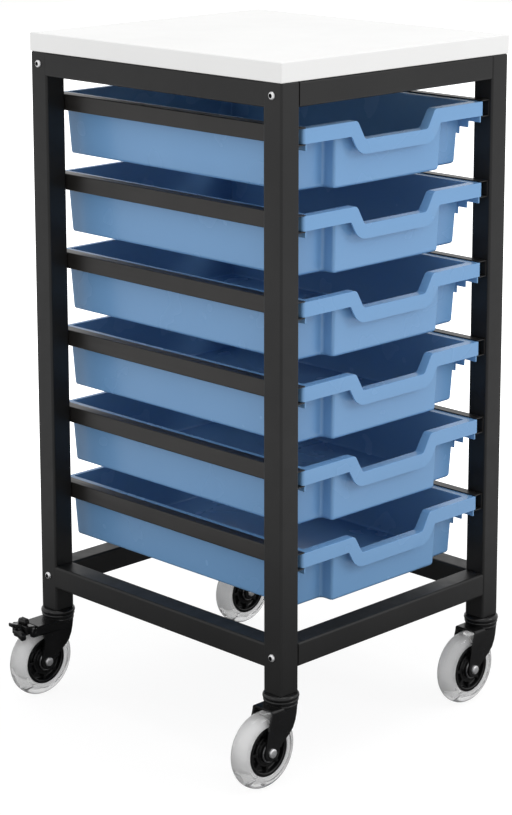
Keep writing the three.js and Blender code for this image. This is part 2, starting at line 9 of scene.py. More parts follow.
import bmesh
import bpy
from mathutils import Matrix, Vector


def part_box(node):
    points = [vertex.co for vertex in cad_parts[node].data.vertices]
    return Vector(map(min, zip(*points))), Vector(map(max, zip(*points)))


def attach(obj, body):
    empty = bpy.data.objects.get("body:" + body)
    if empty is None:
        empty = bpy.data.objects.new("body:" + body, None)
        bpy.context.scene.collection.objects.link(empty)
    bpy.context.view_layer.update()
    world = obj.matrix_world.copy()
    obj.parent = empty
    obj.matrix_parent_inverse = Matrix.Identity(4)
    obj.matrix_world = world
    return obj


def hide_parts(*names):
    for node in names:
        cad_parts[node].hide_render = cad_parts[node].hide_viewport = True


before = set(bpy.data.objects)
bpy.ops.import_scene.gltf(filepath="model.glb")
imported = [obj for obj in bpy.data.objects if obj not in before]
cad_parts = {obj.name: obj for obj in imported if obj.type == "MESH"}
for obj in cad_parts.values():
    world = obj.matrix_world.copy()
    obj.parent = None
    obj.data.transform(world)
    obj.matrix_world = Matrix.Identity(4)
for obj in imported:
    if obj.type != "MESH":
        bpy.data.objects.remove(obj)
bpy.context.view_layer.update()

MM = 0.001

# Board and tubes
BOARD_EDGE = 1.4 * MM
TUBE_CORNER = 3 * MM
TUBE_END = 0.7 * MM
POST_FOOT = 2.2 * MM
WELD_LAP = 2.4 * MM

# Runners
RUNNER_SHEET = 1.2 * MM
RUNNER_FOLD = 1.5 * MM

# Trays, from the top of the rim down
TRAY_WALL = 2.2 * MM
TRAY_HEIGHT = 77.5 * MM
TRAY_HALF = 143 * MM
TRAY_BAY_HALF = 93 * MM
TRAY_BAY_PROUD = 18.5 * MM
TRAY_BAY_RADIUS = 4 * MM
TRAY_CORNER_RADIUS = 3.4 * MM
TRAY_REAR_LEDGE = 4 * MM
TRAY_LEDGE = 12 * MM
TRAY_DRAFT = 4 * MM
TRAY_FLOOR_FOLD = 2.4 * MM
LIP_PROUD = 10.2 * MM
LIP_HEIGHT = 17.2 * MM
LIP_FOLD = 0.8 * MM
LIP_CORNER = 4 * MM
RIM_REAR_RADIUS = 16 * MM
LIP_EASE = 0.45 * MM
DIP_DEPTH = 22.4 * MM
DIP_TOP_HALF = 66.5 * MM
DIP_BOTTOM_HALF = 53.5 * MM
DIP_UPPER_RADIUS = 7 * MM
DIP_LOWER_RADIUS = 5 * MM
LIP_INNER_RADIUS = 2.5 * MM
GUIDE_HALF = 150.9 * MM
GUIDE_THICKNESS = 2 * MM
GUIDE_STEPS = ((20 * MM, 8 * MM), (34 * MM, 16 * MM), (37 * MM, 25 * MM))

# Screws
SCREW_HEAD = 4.7 * MM
SCREW_RISE = 3.3 * MM
SCREW_KEY = 2.3 * MM
SCREW_KEY_DEPTH = 2.6 * MM

# Castors
FORK_SHEET = 2.5 * MM
FORK_FOLD = 3.2 * MM
FORK_EYE = 10 * MM
CASTOR_TRAIL = 30.5 * MM
TYRE_BORE = 30 * MM
TYRE_SHOULDER = 34 * MM
HUB_BOSS = 11 * MM
HUB_RIM = 25.6 * MM
HUB_RIBS = 8
AXLE_HEAD = 5.5 * MM

# Light
FILL_LIGHT = 0.92
FRONT_LIGHT = 13
LEFT_LIGHT = 4
TOP_LIGHT = 18
FLOOR_GLOW = 0.88
FLOOR_THROUGH_TYRE = 0.5

# Camera, at the photograph's angle
CAMERA_PLACE = (-1.9646, -1.9955, 1.1565)
CAMERA_TURN = 45.1332
CAMERA_DIP = 11.5373
CAMERA_LENS = 103.673
CAMERA_SHIFT = (-0.0212, -0.20)

board_low, board_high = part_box("top_panel")
MIDDLE = (board_low.x + board_high.x) / 2
ENDS = ("front", "rear")
SIDES = ("left", "right")
ROWS = range(1, 7)


# Handling of pieces

def deselect_all():
    bpy.ops.object.select_all(action="DESELECT")


def make_active(piece):
    deselect_all()
    bpy.context.view_layer.objects.active = piece
    piece.select_set(True)


def settle(name):
    """Names the object just added and moves its place and size into its mesh."""
    piece = bpy.context.object
    piece.name = name
    piece.data.name = name
    bpy.ops.object.transform_apply(location=True, rotation=True, scale=True)
    return piece


def add_block(name, low, high):
    deselect_all()
    low, high = Vector(low), Vector(high)
    bpy.ops.mesh.primitive_cube_add(size=1, location=(low + high) / 2, scale=high - low)
    return settle(name)


def add_plate(name, low, high, height):
    """A flat sheet between two corners in plan."""
    deselect_all()
    middle = ((low[0] + high[0]) / 2, (low[1] + high[1]) / 2, height)
    bpy.ops.mesh.primitive_plane_add(size=1, location=middle)
    bpy.context.object.scale = (high[0] - low[0], high[1] - low[1], 1)
    return settle(name)


@contextmanager
def editing(piece):
    make_active(piece)
    bpy.ops.object.mode_set(mode="EDIT")
    yield
    bpy.ops.object.mode_set(mode="OBJECT")


def middle(part):
    """The middle of a corner, an edge or a face."""
    if isinstance(part, bmesh.types.BMVert):
        return part.co.copy()
    corners = [corner.co for corner in part.verts]
    return sum(corners, Vector()) / len(corners)


def along(edge, axis, lean=0.99):
    """True for an edge that runs along an axis, 0 to 2."""
    line = (edge.verts[1].co - edge.verts[0].co).normalized()
    return abs(line[axis]) > lean


def pick(piece, kind, test):
    """Selects the corners, edges or faces that pass a test on their place, and nothing else."""
    bpy.ops.mesh.select_mode(type=kind)
    bpy.ops.mesh.select_all(action="DESELECT")
    mesh = bmesh.from_edit_mesh(piece.data)
    parts = {"VERT": mesh.verts, "EDGE": mesh.edges, "FACE": mesh.faces}[kind]
    for part in parts:
        if test(part):
            part.select_set(True)
    bmesh.update_edit_mesh(piece.data)


def near(place, reach=0.05 * MM):
    """A test for a corner at a place."""
    place = Vector(place)
    return lambda part: (middle(part) - place).length < reach


def push(step):
    bpy.ops.transform.translate(value=step)


def draw_out(step=(0, 0, 0)):
    """Extrudes what is selected."""
    bpy.ops.mesh.extrude_region_move(TRANSFORM_OT_translate={"value": step})


def draw_edges(step=(0, 0, 0)):
    bpy.ops.mesh.extrude_edges_move(TRANSFORM_OT_translate={"value": step})


def stretch(scale, centre):
    bpy.ops.transform.resize(value=scale, center_override=centre)


def round_edges(piece, width, steps, test):
    pick(piece, "EDGE", test)
    bpy.ops.mesh.bevel(offset=width, segments=steps, affect="EDGES")


def round_corner(piece, place, radius, steps):
    pick(piece, "VERT", near(place))
    bpy.ops.mesh.bevel(offset=radius, segments=steps, affect="VERTICES")


def cut(piece, place, normal, test=lambda face: True):
    """Cuts the faces that pass a test with a plane."""
    pick(piece, "FACE", test)
    bpy.ops.mesh.bisect(plane_co=place, plane_no=normal)


def face_outwards(piece):
    with editing(piece):
        bpy.ops.mesh.select_all(action="SELECT")
        bpy.ops.mesh.remove_doubles(threshold=0.005 * MM)
        bpy.ops.mesh.normals_make_consistent(inside=False)


def apply_all(piece):
    make_active(piece)
    for modifier in list(piece.modifiers):
        bpy.ops.object.modifier_apply(modifier=modifier.name)


def thicken(piece, wall):
    """Gives a sheet its wall, on the side away from its faces."""
    solid = piece.modifiers.new("wall", "SOLIDIFY")
    solid.thickness = wall
    solid.offset = -1
    solid.use_quality_normals = True
    apply_all(piece)


def ease(piece, width, steps=2, angle=50):
    """Takes the sharpness off every edge that is left."""
    bevel = piece.modifiers.new("ease", "BEVEL")
    bevel.width = width
    bevel.segments = steps
    bevel.limit_method = "ANGLE"
    bevel.angle_limit = math.radians(angle)
    bevel.use_clamp_overlap = True
    apply_all(piece)


def smooth(piece, angle=35):
    make_active(piece)
    bpy.ops.object.shade_smooth_by_angle(angle=math.radians(angle))
    weighted = piece.modifiers.new("weighted", "WEIGHTED_NORMAL")
    weighted.keep_sharp = True
    apply_all(piece)


def join(pieces, name):
    deselect_all()
    for piece in pieces:
        piece.select_set(True)
    bpy.context.view_layer.objects.active = pieces[0]
    bpy.ops.object.join()
    return settle(name)


def copy_of(piece, name, step, mirrored=False):
    """A copy with a mesh of its own, moved by a step. A mirrored one is turned about in Y first."""
    make_active(piece)
    bpy.ops.object.duplicate(linked=False)
    twin = bpy.context.object
    if mirrored:
        twin.scale.y = -1
        bpy.ops.object.transform_apply(location=False, rotation=False, scale=True)
    twin.location = step
    return settle(name)


def remove(piece):
    bpy.data.objects.remove(piece, do_unlink=True)


def hand_over(piece, finish, body, slot, *nodes):
    """Gives a finished piece its finish, the body it rides on and the solids that it stands for."""
    piece.data.materials.clear()
    piece.data.materials.append(finish)
    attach(piece, body)
    if nodes:
        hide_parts(*nodes)


def arc(centre, radius, start, end, steps):
    """Points (across, up) on part of a circle, angles in degrees."""
    points = []
    for step in range(steps + 1):
        angle = math.radians(start + (end - start) * step / steps)
        points.append((centre[0] + radius * math.cos(angle), centre[1] + radius * math.sin(angle)))
    return points


def turn(name, outline, place, axis, sides, closed=False):
    """A turned piece: a ring drawn along its axis, wider or narrower at each (radius, height) of its outline."""
    place = Vector(place)
    line = Vector((0, 0, 0))
    line["xyz".index(axis)] = 1
    tilt = {"x": (0, math.pi / 2, 0), "y": (math.pi / 2, 0, 0), "z": (0, 0, 0)}[axis]
    deselect_all()
    first = place + line * outline[0][1]
    bpy.ops.mesh.primitive_circle_add(vertices=sides, radius=outline[0][0], location=first, rotation=tilt)
    piece = settle(name)
    with editing(piece):
        bpy.ops.mesh.select_mode(type="EDGE")
        bpy.ops.mesh.select_all(action="SELECT")
        if not closed:
            bpy.ops.mesh.edge_face_add()
        for (radius, height), (next_radius, next_height) in zip(outline, outline[1:]):
            draw_edges(line * (next_height - height))
            scale = [next_radius / radius] * 3
            scale["xyz".index(axis)] = 1
            stretch(scale, place + line * next_height)
        if closed:
            draw_edges(line * (outline[0][1] - outline[-1][1]))
            scale = [outline[0][0] / outline[-1][0]] * 3
            scale["xyz".index(axis)] = 1
            stretch(scale, place + line * outline[0][1])
        else:
            bpy.ops.mesh.edge_face_add()
    face_outwards(piece)
    return piece


# Finishes

class Finish:
    """A material on the piece's own coordinates."""

    def __init__(self, name):
        self.material = bpy.data.materials.new(name)
        self.material.use_nodes = True
        self.nodes = self.material.node_tree.nodes
        self.links = self.material.node_tree.links
        self.shader = self.nodes["Principled BSDF"]
        self.place = self.nodes.new("ShaderNodeTexCoord").outputs["Object"]

    def set(self, **values):
        for name, value in values.items():
            self.shader.inputs[name.replace("_", " ").title().replace("Ior", "IOR")].default_value = value

    def noise(self, scale, detail=2, rough=0.5):
        node = self.nodes.new("ShaderNodeTexNoise")
        node.inputs["Scale"].default_value = scale
        node.inputs["Detail"].default_value = detail
        node.inputs["Roughness"].default_value = rough
        self.links.new(self.place, node.inputs["Vector"])
        return node.outputs["Fac"]

    def stretched_noise(self, scale, detail=2):
        """Noise drawn out along one axis by a different scale for each."""
        mapping = self.nodes.new("ShaderNodeMapping")
        mapping.inputs["Scale"].default_value = scale
        self.links.new(self.place, mapping.inputs["Vector"])
        node = self.nodes.new("ShaderNodeTexNoise")
        node.inputs["Scale"].default_value = 1
        node.inputs["Detail"].default_value = detail
        self.links.new(mapping.outputs["Vector"], node.inputs["Vector"])
        return node.outputs["Fac"]

    def colour(self, value, dark, light, low=0.3, high=0.7):
        ramp = self.nodes.new("ShaderNodeValToRGB")
        ramp.color_ramp.elements[0].position = low
        ramp.color_ramp.elements[1].position = high
        ramp.color_ramp.elements[0].color = (*dark, 1)
        ramp.color_ramp.elements[1].color = (*light, 1)
        self.links.new(value, ramp.inputs["Fac"])
        self.links.new(ramp.outputs["Color"], self.shader.inputs["Base Color"])

    def roughness(self, value, low, high):
        scale = self.nodes.new("ShaderNodeMapRange")
        scale.inputs["From Min"].default_value = 0.3
        scale.inputs["From Max"].default_value = 0.7
        scale.inputs["To Min"].default_value = low
        scale.inputs["To Max"].default_value = high
        self.links.new(value, scale.inputs["Value"])
        self.links.new(scale.outputs["Result"], self.shader.inputs["Roughness"])

    def grain(self, value, strength, depth):
        bump = self.nodes.new("ShaderNodeBump")
        bump.inputs["Strength"].default_value = strength
        bump.inputs["Distance"].default_value = depth
        self.links.new(value, bump.inputs["Height"])
        self.links.new(bump.outputs["Normal"], self.shader.inputs["Normal"])


def powder_coat():
    finish = Finish("black_powder_coat")
    finish.colour(finish.noise(9, 3), (0.0085, 0.0085, 0.0088), (0.0125, 0.0124, 0.0124))
    finish.roughness(finish.noise(60, 3), 0.36, 0.46)
    finish.grain(finish.noise(1100, 2), 0.25, 0.12 * MM)
    finish.set(specular_ior_level=0.3)
    return finish.material


def runner_coat():
    finish = Finish("runner_black_coat")
    finish.colour(finish.noise(14, 3), (0.010, 0.0092, 0.0085), (0.016, 0.0145, 0.0135))
    finish.roughness(finish.stretched_noise((220, 14, 220)), 0.28, 0.40)
    finish.grain(finish.noise(900, 2), 0.25, 0.1 * MM)
    finish.set(specular_ior_level=0.4)
    return finish.material


def tray_plastic():
    finish = Finish("tray_blue_moulding")
    finish.colour(finish.noise(7, 3), (0.163, 0.343, 0.608), (0.173, 0.357, 0.626))
    finish.roughness(finish.noise(18, 2), 0.25, 0.28)
    finish.grain(finish.noise(1400, 2), 0.18, 0.08 * MM)
    finish.set(specular_ior_level=0.5)
    return finish.material


def board_white():
    finish = Finish("board_white_laminate")
    finish.colour(finish.noise(5, 3), (0.80, 0.80, 0.795), (0.835, 0.835, 0.83))
    finish.roughness(finish.noise(30, 3), 0.36, 0.46)
    finish.grain(finish.noise(700, 3), 0.2, 0.1 * MM)
    finish.set(specular_ior_level=0.35)
    return finish.material


def castor_plastic():
    finish = Finish("castor_black_plastic")
    finish.colour(finish.noise(40, 3), (0.0045, 0.0045, 0.0048), (0.008, 0.008, 0.0084))
    finish.roughness(finish.noise(180, 3), 0.18, 0.28)
    finish.grain(finish.noise(1500, 2), 0.25, 0.08 * MM)
    finish.set(specular_ior_level=0.38)
    return finish.material


def tyre_rubber():
    finish = Finish("tyre_grey_rubber")
    finish.colour(finish.noise(30, 2), (0.965, 0.965, 0.967), (0.985, 0.985, 0.987))
    finish.roughness(finish.noise(60, 2), 0.05, 0.09)
    finish.grain(finish.noise(900, 2), 0.05, 0.05 * MM)
    finish.set(specular_ior_level=0.6, ior=1.4, transmission_weight=0.8)
    return finish.material


def tyre_core():
    finish = Finish("tyre_white_core")
    finish.colour(finish.noise(30, 2), (0.955, 0.955, 0.957), (0.985, 0.985, 0.987))
    finish.roughness(finish.noise(60, 2), 0.5, 0.6)
    return finish.material


# Dark steel for the screws' key holes: its colour is painted shade, standing in for the shadow deep inside each hole.
def key_hole_shade_finish():
    finish = Finish("key_hole_painted_shade")
    finish.colour(finish.noise(700, 2), (0.012, 0.012, 0.013), (0.03, 0.03, 0.032))
    finish.roughness(finish.noise(500, 2), 0.45, 0.6)
    finish.set(metallic=0.6)
    return finish.material


def zinc_steel():
    finish = Finish("zinc_plated_steel")
    finish.colour(finish.noise(350, 4), (0.70, 0.70, 0.71), (0.86, 0.86, 0.87))
    finish.roughness(finish.noise(600, 3), 0.36, 0.52)
    finish.grain(finish.noise(1800, 2), 0.2, 0.06 * MM)
    finish.set(metallic=1.0)
    return finish.material


def bearing_steel():
    finish = Finish("bearing_dull_steel")
    finish.colour(finish.noise(220, 4), (0.10, 0.10, 0.105), (0.42, 0.42, 0.43))
    finish.roughness(finish.noise(600, 3), 0.36, 0.52)
    finish.grain(finish.noise(1800, 2), 0.2, 0.06 * MM)
    finish.set(metallic=1.0)
    return finish.material


coat = powder_coat()
runner_black = runner_coat()
tray_blue = tray_plastic()
white = board_white()
castor_black = castor_plastic()
tyre_grey = tyre_rubber()
tyre_white = tyre_core()
steel = zinc_steel()
dull_steel = bearing_steel()
key_hole_shade = key_hole_shade_finish()


# Top board and frame

def make_board():
    board = add_block("top_board", board_low, board_high)
    with editing(board):
        round_edges(board, 2 * MM, 4, lambda edge: along(edge, 2))
        round_edges(board, BOARD_EDGE, 4, lambda edge: not along(edge, 2) and edge.calc_face_angle(0) > 1)
    smooth(board)
    hand_over(board, white, "frame", "panel_white", "top_panel")


def make_tube(name, low, high, axis, end_ease):
    """A square tube with rounded long edges and eased ends."""
    tube = add_block(name, low, high)
    with editing(tube):
        round_edges(tube, TUBE_CORNER, 5, lambda edge: along(edge, axis))
        round_edges(tube, end_ease, 2, lambda edge: not along(edge, axis) and edge.calc_face_angle(0) > 1.2)
    return tube


def make_side_frame(side):
    low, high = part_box(f"side_frame_{side}")
    width = high.x - low.x
    tubes = []
    for end, front in (("front", low.y), ("rear", high.y - width)):
        post = make_tube(f"post_{end}_{side}", (low.x, front, low.z), (high.x, front + width, high.z), 2, POST_FOOT)
        tubes.append(post)
    for level in ("top", "lower"):
        beam_low, beam_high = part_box(f"{level}_beam_front")
        start = (low.x, low.y + width - WELD_LAP, beam_low.z)
        end = (high.x, high.y - width + WELD_LAP, beam_high.z)
        tubes.append(make_tube(f"side_beam_{level}_{side}", start, end, 1, TUBE_END))
    side_frame = join(tubes, f"welded_side_{side}")
    smooth(side_frame)
    hand_over(side_frame, coat, "frame", "frame_black", f"side_frame_{side}")


def make_cross_beams():
    for level in ("top", "lower"):
        for end in ENDS:
            node = f"{level}_beam_{end}"
            beam = make_tube(f"cross_tube_{level}_{end}", *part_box(node), 0, TUBE_END)
            smooth(beam)
            hand_over(beam, coat, "frame", "frame_black", node)


def paint_key_hole_shade(screw):
    """Gives the key hole's floor and walls a dark colour that paints in the shade inside the hole."""
    screw.data.materials.append(key_hole_shade)
    centre = sum((corner.co for corner in screw.data.vertices), Vector()) / len(screw.data.vertices)
    for face in screw.data.polygons:
        if Vector((face.center.y - centre.y, face.center.z - centre.z)).length < SCREW_KEY * 0.98:
            face.material_index = 1


def make_screws():
    """Button heads with a six-sided key hole, on the outer faces of the posts."""
    sections = [(SCREW_HEAD * 0.97, 0), (SCREW_HEAD, 0.35 * MM)]
    sections += [(SCREW_HEAD * math.cos(a), 0.35 * MM + (SCREW_RISE - 0.35 * MM) * math.sin(a))
                 for a in (0.2, 0.4, 0.6, 0.8, 1.0)]
    head = turn("screw", sections, (0, 0, 0), "x", 40)
    deselect_all()
    bpy.ops.mesh.primitive_cylinder_add(vertices=6, radius=SCREW_KEY, depth=2 * SCREW_KEY_DEPTH,
                                        location=(sections[-1][1], 0, 0), rotation=(0, math.pi / 2, 0))
    key = settle("screw_key")
    hole = head.modifiers.new("key", "BOOLEAN")
    hole.operation = "DIFFERENCE"
    hole.solver = "EXACT"
    hole.object = key
    apply_all(head)
    remove(key)
    smooth(head, 30)
    for side, way in (("left", -1), ("right", 1)):
        for level in ("top", "lower"):
            for end in ENDS:
                node = f"screw_{level}_{end}_{side}"
                low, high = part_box(node)
                face = low.x + SCREW_RISE if way < 0 else high.x - SCREW_RISE
                screw = copy_of(head, f"button_screw_{level}_{end}_{side}", (0, 0, 0))
                if way < 0:
                    screw.rotation_euler = (0, 0, math.pi)
                screw.location = (face, (low.y + high.y) / 2, (low.z + high.z) / 2)
                settle(screw.name)
                hand_over(screw, steel, "frame", "steel", node)
                paint_key_hole_shade(screw)
    remove(head)


def make_runners():
    """Folded channels: a block opened at its inner side and its front, folded edges rounded, then given its sheet."""
    for side, way in (("left", 1), ("right", -1)):
        first = None
        first_low = None
        for row in ROWS:
            node = f"runner_{side}_{row}"
            low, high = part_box(node)
            if first is None:
                first = add_block(f"channel_{side}_1", low, high)
                first_low = low
                with editing(first):
                    pick(first, "FACE", lambda face: face.normal.x * way > 0.9 or face.normal.y < -0.9)
                    bpy.ops.mesh.delete(type="FACE")
                    round_edges(first, RUNNER_FOLD, 3, lambda edge: not edge.is_boundary)
                thicken(first, RUNNER_SHEET)
                ease(first, 0.2 * MM, 1)
                smooth(first)
                channel = first
            else:
                channel = copy_of(first, f"channel_{side}_{row}", (0, 0, low.z - first_low.z))
            hand_over(channel, runner_black, "frame", "runner_black", node)


# Trays

def dip_edge(drop, upper_radius, lower_radius, steps=(5, 7)):
    """One half of the lip's edge in front view, (across, up) from outside to middle, lowered by a drop."""
    slope = math.atan2(DIP_DEPTH, DIP_TOP_HALF - DIP_BOTTOM_HALF)
    spread = drop * math.tan(slope / 2)
    upper = (DIP_TOP_HALF + spread, -drop)
    lower = (DIP_BOTTOM_HALF + spread, -DIP_DEPTH - drop)
    turned = math.degrees(slope)
    reach = math.tan(slope / 2)
    points = arc((upper[0] + upper_radius * reach, upper[1] - upper_radius), upper_radius, 90, 90 + turned, steps[0])
    points += arc((lower[0] - lower_radius * reach, lower[1] + lower_radius), lower_radius,
                  270 + turned, 270, steps[1])
    return points


def shape_tray_mouth(tray, inner, front, rear):
    """The mouth in plan: a rectangle with its corners rounded."""
    for across in (-inner, inner):
        for along_depth in (front, rear):
            round_corner(tray, (across, along_depth, 0), TRAY_CORNER_RADIUS - TRAY_WALL, 6)


def set_back_front(tray, bay, front, wall_front):
    """Leaves a ledge at both ends of the front, so that only the bay between them goes on down."""
    level = -TRAY_LEDGE
    at_ledge = lambda face: abs(middle(face).z - level) < 0.1 * MM
    for across in (-bay, bay):
        cut(tray, (across, 0, 0), (1, 0, 0), at_ledge)
    cut(tray, (0, wall_front, 0), (0, 1, 0), at_ledge)
    pick(tray, "FACE", lambda face: at_ledge(face)
         and not (abs(middle(face).x) > bay and middle(face).y < wall_front))
    bpy.ops.mesh.dissolve_faces()
    for across in (-bay, bay):
        round_corner(tray, (across, wall_front, level), TRAY_BAY_RADIUS + TRAY_WALL, 6)
        round_corner(tray, (across, front, level), TRAY_BAY_RADIUS - TRAY_WALL, 6)


def draw_tray_down(tray, drop, share, inner, length, centre):
    """Draws the selected faces down and in, by the walls' draft over a share of the depth left."""
    draw_out((0, 0, -drop))
    inset = TRAY_DRAFT * share
    stretch((1 - inset / inner, 1 - 2 * inset / length, 1), centre)


def spread_rim(tray, inner, front, rear, rim_half, lip_front, rim_rear):
    """Draws the mouth's edge out to the rim: each corner goes to its place and radius."""
    pick(tray, "EDGE", lambda edge: edge.is_boundary)
    draw_edges((0, 0, 0.5 * MM))
    reach = TRAY_CORNER_RADIUS - TRAY_WALL
    for way in (-1, 1):
        for old_y, new_y, radius in ((front, lip_front, LIP_CORNER), (rear, rim_rear, RIM_REAR_RADIUS)):
            pick(tray, "VERT", lambda corner: corner.is_boundary and abs(corner.co.y - old_y) < reach + 0.01 * MM
                 and corner.co.x * way > inner - reach - 0.01 * MM)
            push((way * (rim_half - inner), new_y - old_y, 0))
            stretch((radius / reach, radius / reach, 1), (way * rim_half, new_y, 0))
    pick(tray, "VERT", lambda corner: corner.is_boundary)
    push((0, 0, -0.5 * MM))
    bpy.ops.mesh.select_all(action="SELECT")
    bpy.ops.mesh.remove_doubles(threshold=0.05 * MM)


def face_into_tray(tray):
    """Turns every face of the open tray towards its inside."""
    bpy.ops.mesh.select_all(action="SELECT")
    bpy.ops.mesh.normals_make_consistent(inside=False)
    floor = min(bmesh.from_edit_mesh(tray.data).faces, key=lambda face: middle(face).z)
    if floor.normal.z < 0:
        bpy.ops.mesh.flip_normals()


def lower_dip(tray, lip_front, bay_front):
    """Bends the lip and the wall behind it down into the dip, column by column."""
    upper = dip_edge(0, DIP_UPPER_RADIUS, DIP_LOWER_RADIUS)
    lower = dip_edge(LIP_HEIGHT, LIP_INNER_RADIUS, DIP_LOWER_RADIUS + LIP_HEIGHT)
    columns = [(way, top, foot) for top, foot in zip(upper, lower) for way in (-1, 1)]
    columns += [(1, (share * upper[-1][0], upper[-1][1]), (share * lower[-1][0], lower[-1][1]))
                for share in (-0.5, 0, 0.5)]
    for way, top, foot in columns:
        cut(tray, (way * top[0], 0, 0), (1, 0, 0),
            lambda face: middle(face).y < bay_front - MM and abs(face.normal.x) < 0.1)
    for way, top, foot in columns:
        for back, lean in ((lip_front, 0), (bay_front, TRAY_DRAFT / (TRAY_HEIGHT - TRAY_WALL))):
            pick(tray, "VERT", near((way * top[0], back, 0)))
            push((0, -lean * top[1], top[1]))
        pick(tray, "VERT", near((way * top[0], lip_front, -LIP_HEIGHT)))
        push((way * (foot[0] - top[0]), 0, foot[1] + LIP_HEIGHT))


def make_guide(way, lip_front):
    """A stepped plate under one end of the lip."""
    across = (way * (GUIDE_HALF - GUIDE_THICKNESS), way * GUIDE_HALF)
    front = lip_front + TRAY_WALL / 2
    end = lip_front + GUIDE_STEPS[-1][0]
    plate = add_block("guide", (min(across), front, -LIP_HEIGHT - GUIDE_STEPS[0][1]), (max(across), end, -TRAY_WALL / 2))
    slip = 0.3 * MM
    with editing(plate):
        for reach, _ in GUIDE_STEPS[:-1]:
            cut(plate, (0, lip_front + reach - slip, 0), (0, 1, 0))
            cut(plate, (0, lip_front + reach, 0), (0, 1, 0))
        for (reach, drop), (_, next_drop) in zip(GUIDE_STEPS, GUIDE_STEPS[1:]):
            pick(plate, "VERT", lambda corner: corner.co.y > lip_front + reach - slip / 2 and corner.co.z < -LIP_HEIGHT)
            push((0, 0, drop - next_drop))
    across = (way * (TRAY_HALF - TRAY_WALL / 2), way * (GUIDE_HALF - GUIDE_THICKNESS / 2))
    web = add_block("guide_web", (min(across), end - GUIDE_THICKNESS, -LIP_HEIGHT - GUIDE_STEPS[-1][1] + MM),
                    (max(across), end - 0.1 * MM, -TRAY_WALL / 2))
    plate = join([plate, web], "guide")
    ease(plate, 0.3 * MM, 1)
    return plate


def make_trays():
    """One moulding: body with its bay, turned-down rim, dipped lip and guide plates; then five copies."""
    low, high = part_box("tray_1")
    rim_half = (high.x - low.x) / 2
    lip_front, rim_rear = low.y, high.y
    inner = TRAY_HALF - TRAY_WALL
    bay = TRAY_BAY_HALF - TRAY_WALL
    bay_front = lip_front + LIP_PROUD + TRAY_WALL
    wall_front = bay_front + TRAY_BAY_PROUD
    rear = rim_rear - TRAY_REAR_LEDGE - TRAY_WALL
    depth = TRAY_HEIGHT - TRAY_WALL
    length = rear - bay_front
    centre = (0, (bay_front + rear) / 2, 0)
    ledge_share = TRAY_LEDGE / depth
    ledge_front = bay_front + TRAY_DRAFT * ledge_share
    tray = add_plate("tray", (-inner, bay_front), (inner, rear), 0)
    with editing(tray):
        shape_tray_mouth(tray, inner, bay_front, rear)
        pick(tray, "FACE", lambda face: True)
        draw_tray_down(tray, TRAY_LEDGE, ledge_share, inner, length, centre)
        set_back_front(tray, bay, ledge_front, wall_front)
        pick(tray, "FACE", lambda face: abs(middle(face).z + TRAY_LEDGE) < 0.1 * MM and face.calc_area() > 0.02)
        draw_tray_down(tray, depth - TRAY_LEDGE, 1 - ledge_share, inner, length, centre)
        pick(tray, "EDGE", lambda edge: along(edge, 0) and abs(middle(edge).z + TRAY_LEDGE) < 0.1 * MM
             and abs(middle(edge).x) < MM and middle(edge).y < wall_front)
        bpy.ops.mesh.dissolve_edges(use_verts=False)
        pick(tray, "FACE", lambda face: middle(face).z > -MM)
        bpy.ops.mesh.delete(type="ONLY_FACE")
        face_into_tray(tray)
        round_edges(tray, TRAY_FLOOR_FOLD, 4, lambda edge: all(v.co.z < -depth + MM for v in edge.verts)
                    and edge.calc_face_angle(0) > 0.6)
        spread_rim(tray, inner, bay_front, rear, rim_half, lip_front, rim_rear)
        pick(tray, "EDGE", lambda edge: edge.is_boundary)
        draw_edges((0, 0, -LIP_HEIGHT))
        lower_dip(tray, lip_front, bay_front)
        round_edges(tray, LIP_FOLD, 3, lambda edge: middle(edge).z > -DIP_DEPTH - MM
                    and 1.2 < edge.calc_face_angle(0) < 2.0 and not along(edge, 2, 0.9))
    thicken(tray, TRAY_WALL)
    ease(tray, LIP_EASE, 2, 60)
    tray = join([tray, make_guide(-1, lip_front), make_guide(1, lip_front)], "tray")
    smooth(tray, 40)
    for row in ROWS:
        node = f"tray_{row}"
        copy = copy_of(tray, f"blue_tray_{row}", (MIDDLE, 0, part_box(node)[1].z))
        hand_over(copy, tray_blue, f"tray_body_{row}", "tray_blue", node)
    remove(tray)


# Castors

def make_collar():
    """Two rings round the foot of the post and a neck down to the fork, measured from the post's foot."""
    steps = [(12, 1.2), (18.6, 1.0), (20.3, 0.1), (21.2, -1.2), (21.5, -2.8), (21.3, -4.2), (20.6, -5.1), (20, -5.5),
             (19.9, -5.9), (20.5, -6.4), (20.8, -7.3), (20.6, -8.2), (20, -8.8), (19.8, -9.4), (19.9, -10.4), (19.4, -11.2)]
    collar = turn("collar", [(r * MM, z * MM) for r, z in steps], (0, 0, 0), "z", 64)
    smooth(collar, 50)
    return collar


def draw_leg(fork, start, rows):
    """Draws a fork's leg down from the edge between two corners, row by row: the next front and rear corners."""
    pick(fork, "EDGE", lambda edge: all(min((corner.co - end).length for end in start) < 0.05 * MM for corner in edge.verts))
    front, rear = start
    for next_front, next_rear in rows:
        draw_edges()
        shift = (next_front - front + next_rear - rear) / 2
        push(shift)
        front_now, rear_now = front + shift, rear + shift
        mesh = bmesh.from_edit_mesh(fork.data)
        for corner in mesh.verts:
            if corner.select:
                is_front = (corner.co - front_now).length < (corner.co - rear_now).length
                corner.co = next_front if is_front else next_rear
        bmesh.update_edit_mesh(fork.data)
        front, rear = next_front, next_rear


